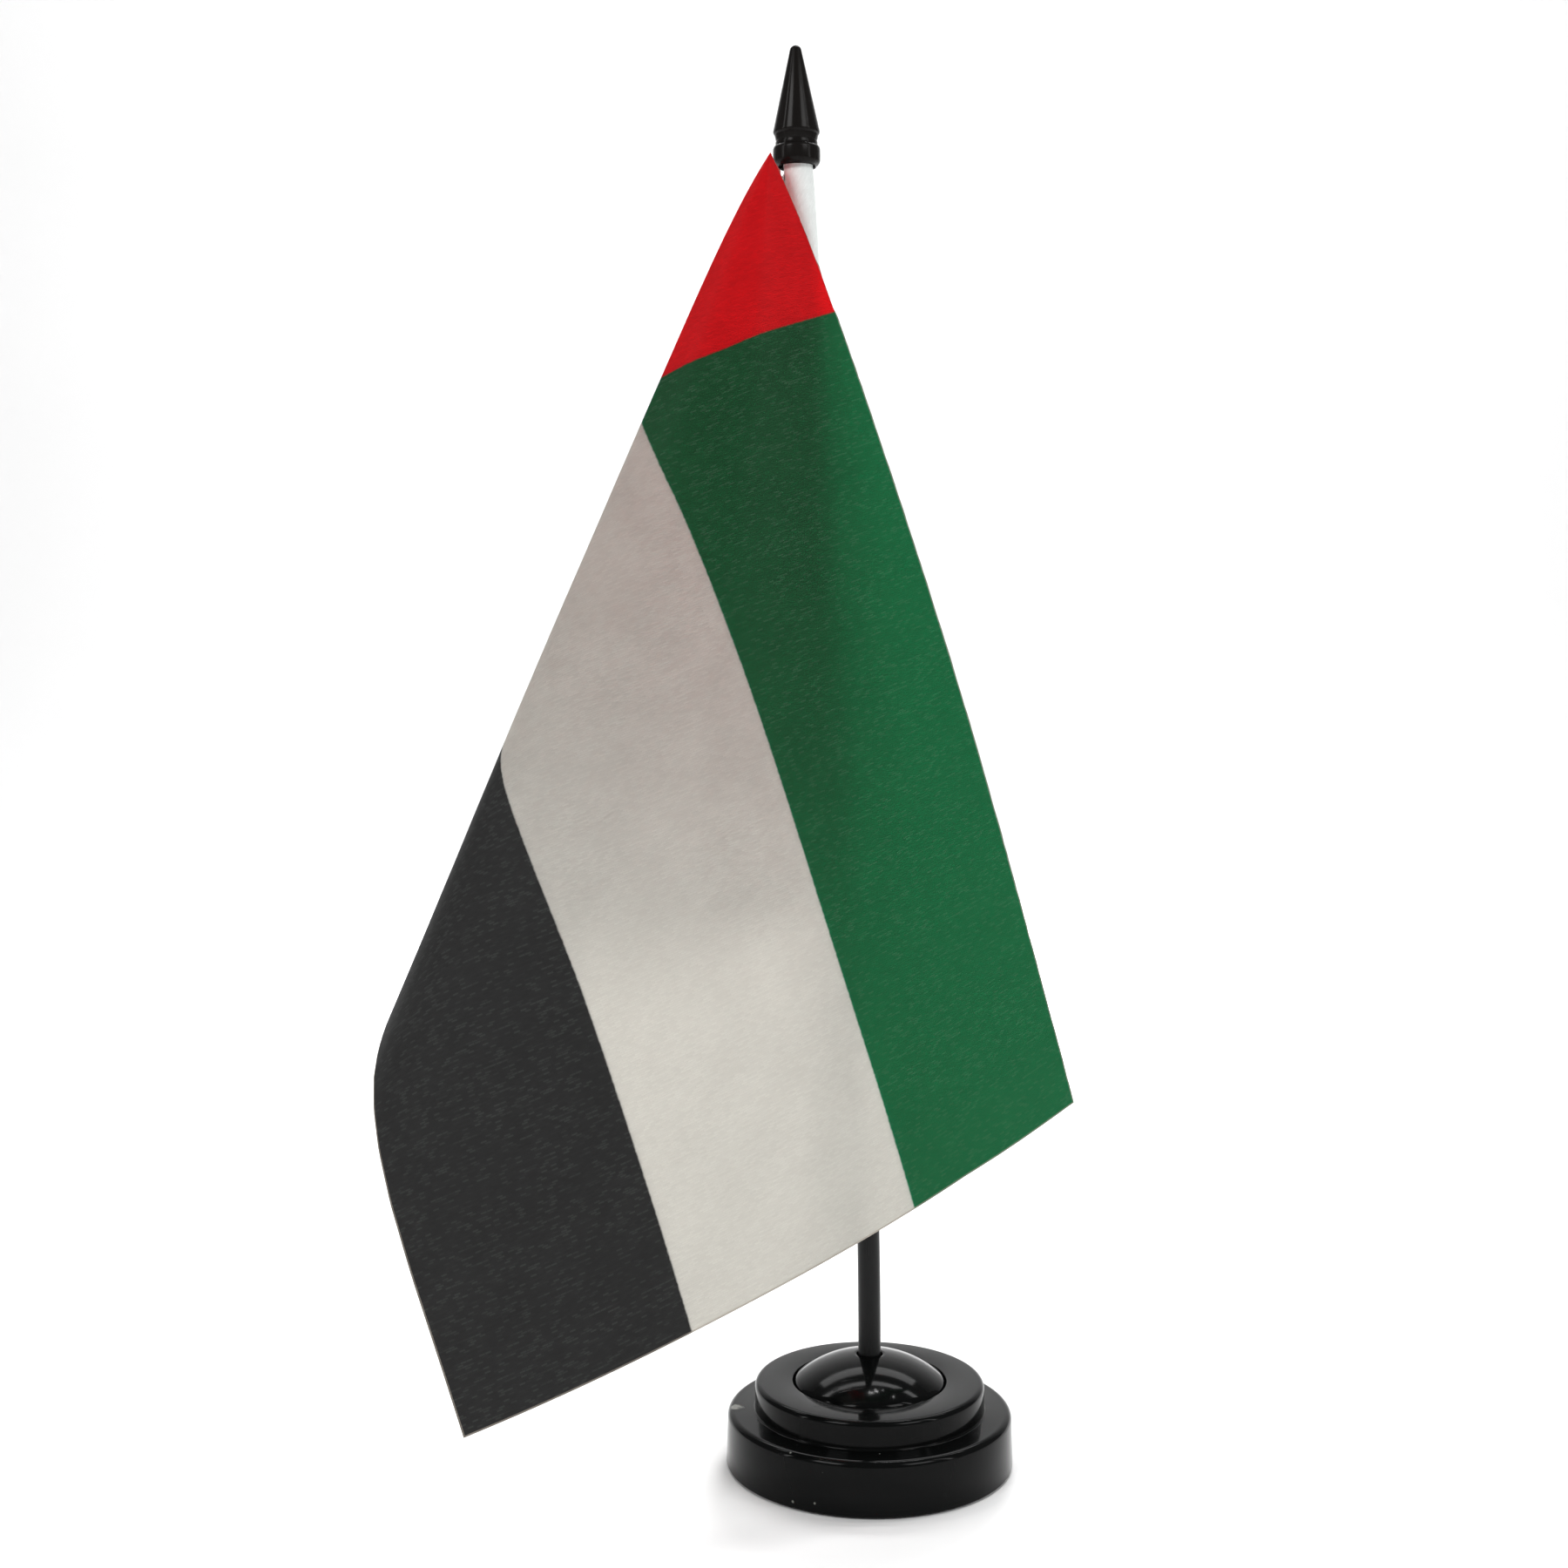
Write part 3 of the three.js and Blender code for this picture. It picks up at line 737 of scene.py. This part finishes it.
def pad(material):
    """The felt pad: a soft-edged disc whose face and rim are lightly matted."""
    low, high = node_size("felt_pad")
    radius, thickness = (high.x - low.x) / 2, high.z
    outline = [(0, 0.0)]
    outline += [(radius * i / 14, 0.0) for i in range(1, 14)]
    outline += arc((radius - 0.4, 0.4), 0.4, -90, 0, 4)
    outline += arc((radius - 0.4, thickness - 0.4), 0.4, 0, 90, 4)
    outline += [(radius * i / 6, thickness) for i in range(5, -1, -1)]
    felt = turned("felt_base_pad", outline, 120)
    rng = random.Random(4)
    for vertex in felt.data.vertices:
        if vertex.co.z < 0.1 * MM and vertex.co.xy.length > 0.5 * MM:
            vertex.co.z += rng.uniform(0.0, 0.07) * MM
        elif vertex.co.xy.length > (radius - 0.5) * MM:
            push = 1 + rng.uniform(-0.004, 0.002)
            vertex.co.x *= push
            vertex.co.y *= push
    put_on(felt, material)
    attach(felt, "base")
    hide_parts("felt_pad")


# ---------------------------------------------------------------- pole and finial


def pole_rod(material):
    """The pole as one swept round bar with its foot and top edges broken."""
    low, high = node_size("pole")
    sides, edge = 48, 0.3
    heights = [low.z, low.z + edge, BEND_START]
    heights += [BEND_START + (BEND_END - BEND_START) * i / 32 for i in range(1, 33)]
    heights += [BEND_END + (high.z - edge - BEND_END) * i / 8 for i in range(1, 9)] + [high.z]
    deselect_all()
    bpy.ops.mesh.primitive_circle_add(
        vertices=sides, radius=(POLE_RADIUS - edge) * MM, fill_type="NGON", location=pole_centre(low.z) * MM
    )
    rod = bpy.context.object
    rod.name = rod.data.name = "pole_rod"
    bpy.ops.object.mode_set(mode="EDIT")
    bpy.ops.mesh.select_all(action="SELECT")
    widen = POLE_RADIUS / (POLE_RADIUS - edge)
    for i, (before, after) in enumerate(zip(heights, heights[1:])):
        step = (pole_centre(after) - pole_centre(before)) * MM
        bpy.ops.mesh.extrude_region_move(TRANSFORM_OT_translate={"value": step})
        if i == 0:
            bpy.ops.transform.resize(value=(widen, widen, 1))
        if i == len(heights) - 2:
            bpy.ops.transform.resize(value=(1 / widen, 1 / widen, 1))
    bpy.ops.mesh.select_all(action="SELECT")
    bpy.ops.mesh.normals_make_consistent(inside=False)
    bpy.ops.object.mode_set(mode="OBJECT")
    settle(rod)
    smooth(rod, 32)
    put_on(rod, material)
    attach(rod, "pole")
    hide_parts("pole")


def pointed_finial(material):
    """The finial: a blunt-tipped cone with a chamfered foot, a groove and a barrel collar over the sleeve."""
    mouth_height, engaged, lean = 267.1, 7.5, math.radians(0.6)
    length, tip, cone, collar, groove = 24.2, 1.2, 4.7, 4.75, 4.12
    outline = [
        (0, 9.8),
        (2.9, 9.0),
        (2.9, 1.4),
        (3.7, 1.4),
        (3.7, 0.35),
        *arc((3.92, 0.32), 0.22, 180, 270, 3),
        *arc((collar - 1.5, 1.6), 1.5, -62, 0, 9),
        (collar + 0.02, 2.3),
        *arc((collar - 1.0, 3.5), 1.0, 0, 62, 6),
        (groove + 0.12, 4.95),
        (groove, 5.3),
        (groove + 0.1, 5.6),
        *arc((cone - 0.75, 7.1), 0.75, -52, 10, 6),
        *arc((0, length - tip), tip, 12, 88, 9),
        (0, length),
    ]
    middle = pole_centre(mouth_height + engaged / 2)
    along = Vector((-math.sin(lean), 0, math.cos(lean)))
    spike = turned("pointed_finial", outline, 120, at=middle - along * engaged / 2, lean=lean)
    put_on(spike, material)
    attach(spike, "finial")
    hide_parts("finial")


# ---------------------------------------------------------------- flag


def cloth_angles():
    """The rays that the cloth's grid follows: closest together round the crease, one of them to the far
    corner."""
    corner = math.degrees(math.atan2(FLAG_HEIGHT, FLAG_LENGTH))
    angles = []
    for start, end, steps in ((90, CREASE_ANGLE, 84), (CREASE_ANGLE, corner, 28), (corner, 0, 60)):
        angles += [start + (end - start) * i / steps for i in range(steps)]
    return angles + [0]


def cloth_start(angle):
    """Distance from the fan's point to the cloth's top."""
    return FAN_CUT * settled(angle)


def ripple(u, v):
    """Soft standing waves in the free cloth, in millimetres off its hanging shape; none near the pole."""
    free = min(max((u - 60) / 120, 0), 1)
    low = min(max((v - 10) / 60, 0), 1)
    wave = 0.9 * math.sin(u / 23 + v / 41 + 0.6) + 0.5 * math.sin(v / 17 - u / 60)
    return wave * free * (0.35 + 0.65 * low)


def flag_panel(material):
    """The free cloth: one sheet cut square, hung as the fan, with a heat-cut edge that is a little uneven."""
    angles = cloth_angles()
    rows = 100
    rng = random.Random(11)
    points, flat = [], []
    for angle in angles:
        turn = math.radians(angle)
        start, end = cloth_start(angle), reach(angle)
        frayed = start + rng.uniform(-0.12, 0.22) * settled(angle) * (end > start)
        for j in range(rows + 1):
            distance = frayed + (end - frayed) * j / rows
            ragged = 0.5 if distance < RED_BAND else 0.12
            cut = math.degrees(rng.uniform(0, ragged) / max(distance, 10)) if angle == 0 else 0
            points.append(cloth_place(angle + cut, distance))
            flat.append((distance * math.cos(turn), distance * math.sin(turn)))
    count = rows + 1

    def normal(i, j):
        left = points[max(i - 1, 0) * count + j]
        right = points[min(i + 1, len(angles) - 1) * count + j]
        up = points[i * count + max(j - 1, 0)]
        down = points[i * count + min(j + 1, rows)]
        cross = (right - left).cross(down - up)
        return cross.normalized() if cross.length > 1e-9 else Vector((0, -1, 0))

    moved = []
    for i in range(len(angles)):
        for j in range(count):
            place = points[i * count + j]
            moved.append(place + normal(i, j) * ripple(*flat[i * count + j]))
    faces = []
    for i in range(len(angles) - 1):
        for j in range(rows):
            a, b = i * count + j, (i + 1) * count + j
            faces.append((a, a + 1, b + 1, b))
    panel = new_mesh("flag_panel", moved, faces)
    layer = panel.data.uv_layers.new(name="flat")
    for loop in panel.data.loops:
        u, v = flat[loop.vertex_index]
        layer.data[loop.index].uv = (u / 10, v / 10)
    make_active(panel)
    bpy.ops.object.mode_set(mode="EDIT")
    bpy.ops.mesh.select_all(action="SELECT")
    bpy.ops.mesh.remove_doubles(threshold=0.01 * MM)
    bpy.ops.object.mode_set(mode="OBJECT")
    thicken = panel.modifiers.new("thickness", "SOLIDIFY")
    thicken.thickness = CLOTH_THICKNESS * MM
    thicken.offset = 0
    apply_modifiers(panel)
    smooth(panel, 60)
    put_on(panel, material)
    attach(panel, "flag")
    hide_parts("flag_cloth")
    return panel


def hoist_place(down, across, side):
    """A point on the cloth just off the pole, to one side of its thickness."""
    angle = math.degrees(math.atan2(down, across))
    distance = math.hypot(down, across)
    here = cloth_place(angle, distance)
    ahead = cloth_place(math.degrees(math.atan2(down, across + 1)), math.hypot(down, across + 1))
    below = cloth_place(math.degrees(math.atan2(down + 1, across)), math.hypot(down + 1, across))
    out = (ahead - here).cross(below - here).normalized()
    return here + out * side


def pole_sleeve(material):
    """The strip turned round the pole: it hugs the pole and both its ends lie flat on the cloth's hoist."""
    length = SLEEVE_TOP - (CLOTH_TOP - FLAG_HEIGHT)
    rows, round_steps, tail_steps = 70, 30, 4
    tail = 3.4
    apart = CLOTH_THICKNESS + 0.06
    up = Vector((-math.sin(LEAN), 0, math.cos(LEAN)))
    right = Vector((math.cos(LEAN), 0, math.sin(LEAN)))
    front = Vector((0, -1, 0))
    rng = random.Random(7)
    phases = [rng.uniform(0, 2 * math.pi) for _ in range(2)]
    points, flat = [], []
    for j in range(rows + 1):
        below_top = length * j / rows
        centre = pole_centre(SLEEVE_TOP) - up * below_top
        down = max(below_top - (SLEEVE_TOP - CLOTH_TOP), 0.4)
        mouth = min(max((below_top - 2) / 8, 0), 1)  # nothing of the tails inside the finial
        run = 0.0
        ring = []
        for k in range(tail_steps):
            across = min(tail, 0.2 * down) * (1 - k / tail_steps) + 0.25
            ring.append(hoist_place(max(down, 2.0), across, apart))
        for k in range(round_steps + 1):
            angle = math.radians(205 + 310 * k / round_steps)
            slack = 0.08 * math.sin(3 * angle + below_top / 9 + phases[0])
            slack += 0.05 * math.sin(below_top / 5 + phases[1])
            size = SLEEVE_RADIUS + slack * mouth
            ring.append(centre + right * size * math.cos(angle) - front * size * math.sin(angle))
        for k in range(tail_steps):
            across = min(tail, 0.2 * down) * (k + 1) / tail_steps + 0.25
            ring.append(hoist_place(max(down, 2.0), across, -apart))
        if mouth < 1:
            inside = centre - right * (SLEEVE_RADIUS - 0.1)
            for k in list(range(tail_steps)) + list(range(len(ring) - tail_steps, len(ring))):
                ring[k] = inside.lerp(ring[k], mouth)
        for k, place in enumerate(ring):
            if k:
                run += (place - ring[k - 1]).length
            points.append(place)
            flat.append((run, below_top))
    across_count = round_steps + 1 + 2 * tail_steps
    faces = []
    for j in range(rows):
        for k in range(across_count - 1):
            a, b = j * across_count + k, (j + 1) * across_count + k
            faces.append((a, a + 1, b + 1, b))
    sleeve = new_mesh("pole_sleeve", points, faces)
    layer = sleeve.data.uv_layers.new(name="flat")
    for loop in sleeve.data.loops:
        u, v = flat[loop.vertex_index]
        layer.data[loop.index].uv = (u / 10, v / 10)
    thicken = sleeve.modifiers.new("thickness", "SOLIDIFY")
    thicken.thickness = CLOTH_THICKNESS * 0.8 * MM
    thicken.offset = 0
    apply_modifiers(sleeve)
    smooth(sleeve, 60)
    put_on(sleeve, material)
    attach(sleeve, "flag")
    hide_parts("flag_sleeve")
    return sleeve


def seam_stitches(material):
    """Lockstitches through both ends of the sleeve and the cloth between them, on both faces."""
    pitch, length, thickness = 2.6, 2.1, 0.2
    from_hoist = 2.2
    lift = CLOTH_THICKNESS * 2 + 0.12
    points, faces = [], []
    for side in (lift, -lift):
        down = 13.0
        while down < FLAG_HEIGHT - 3:
            first = hoist_place(down, from_hoist, side)
            last = hoist_place(down + length, from_hoist, side)
            sink = (hoist_place(down, from_hoist, 0) - first).normalized() * 0.3
            along = (last - first).normalized()
            out = -sink.normalized()
            width = along.cross(out).normalized()
            rings = []
            for t, depth in ((0.0, 1.0), (0.12, 0.2), (0.35, -0.1), (0.65, -0.1), (0.88, 0.2), (1.0, 1.0)):
                centre = first.lerp(last, t) + sink * depth
                ring = []
                for k in range(8):
                    turn = 2 * math.pi * k / 8
                    size = thickness / 2 * (0.55 if depth == 1.0 else 1.0)
                    ring.append(len(points))
                    points.append(centre + (width * math.cos(turn) + out * math.sin(turn)) * size)
                rings.append(ring)
            for lower, upper in zip(rings, rings[1:]):
                for k in range(8):
                    faces.append((lower[k], lower[(k + 1) % 8], upper[(k + 1) % 8], upper[k]))
            faces.append(tuple(reversed(rings[0])))
            faces.append(tuple(rings[-1]))
            down += pitch
    stitches = new_mesh("seam_stitches", points, faces)
    make_active(stitches)
    bpy.ops.object.mode_set(mode="EDIT")
    bpy.ops.mesh.select_all(action="SELECT")
    bpy.ops.mesh.normals_make_consistent(inside=False)
    bpy.ops.object.mode_set(mode="OBJECT")
    smooth(stitches, 50)
    put_on(stitches, material)
    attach(stitches, "flag")
    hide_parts("sleeve_stitching")
    return stitches


# ---------------------------------------------------------------- the whole


def dress_hidden_parts():
    """The CAD parts that stay as they are get their real finish."""
    natural = moulded_plastic("Natural polypropylene, moulded", 0xD6D3C8, 0.45)
    dark = moulded_plastic("Recycled ABS, spark-eroded black", 0x161617, 0.5)
    finishes = {
        "bottom_cover": dark,
        "socket_tube": natural,
        "socket_bush": natural,
        "ballast_ring": zinc_steel(),
    }
    for name, material in finishes.items():
        put_on(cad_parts[name], material)


add_camera()
add_stage()
add_lights()
bpy.context.scene.view_settings.view_transform = "Standard"

polished = gloss_abs("Moulded ABS, polished black", 0x0A0B0B, 0.07, 0.25, BASE_NICKS)
finial_gloss = gloss_abs("Moulded ABS, bright black", 0x171514, 0.12, 0.5)
base_moulding(polished)
dome(polished)
pad(needled_felt())
pole_rod(satin_rod())
pointed_finial(finial_gloss)
printed = printed_satin()
unprinted = white_satin()
panel = flag_panel(printed)
sleeve = pole_sleeve(unprinted)
stitches = seam_stitches(sewing_thread())
dress_hidden_parts()
